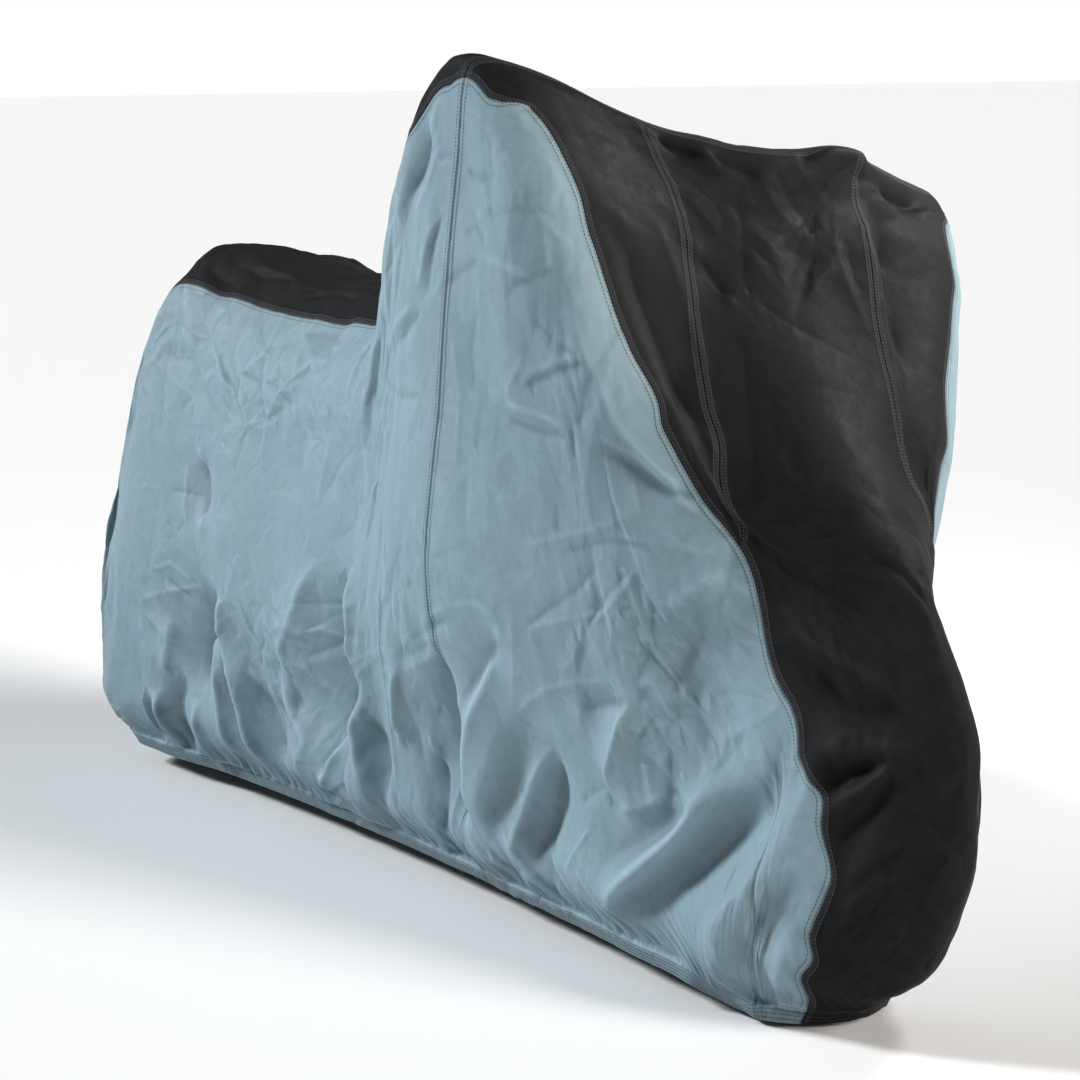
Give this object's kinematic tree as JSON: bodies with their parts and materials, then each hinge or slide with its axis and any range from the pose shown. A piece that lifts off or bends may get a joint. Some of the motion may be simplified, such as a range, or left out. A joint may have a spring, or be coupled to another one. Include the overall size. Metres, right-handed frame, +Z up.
{
  "type": "motorcycle cover",
  "caption": "Fitted cloth cover draped over a parked motorcycle, with silver-blue side panels, a black top and front, gussets at the handlebar and a gathered elastic hem.",
  "frame": {"origin": "under the middle of the cover's top, where the machine's saddle carries it, 0.857 m above the ground", "axes": "+X to the machine's front, +Y to its left-hand side, +Z up; the machine leans 10 degrees to +Y"},
  "size_m": [2.1655, 0.9279, 1.2332],
  "materials": {
    "silver_cloth": "thin coated nylon, silver-blue, crinkled, with a low sheen",
    "black_cloth": "thin coated nylon, black, crinkled, with a low sheen"
  },
  "bodies": {
    "root": {"side_rear_right": "silver_cloth", "side_front_right": "silver_cloth", "side_rear_left": "silver_cloth", "side_front_left": "silver_cloth", "top_strip": "black_cloth", "gusset_right": "black_cloth", "gusset_left": "black_cloth", "front_centre": "black_cloth"}
  },
  "joints": []
}
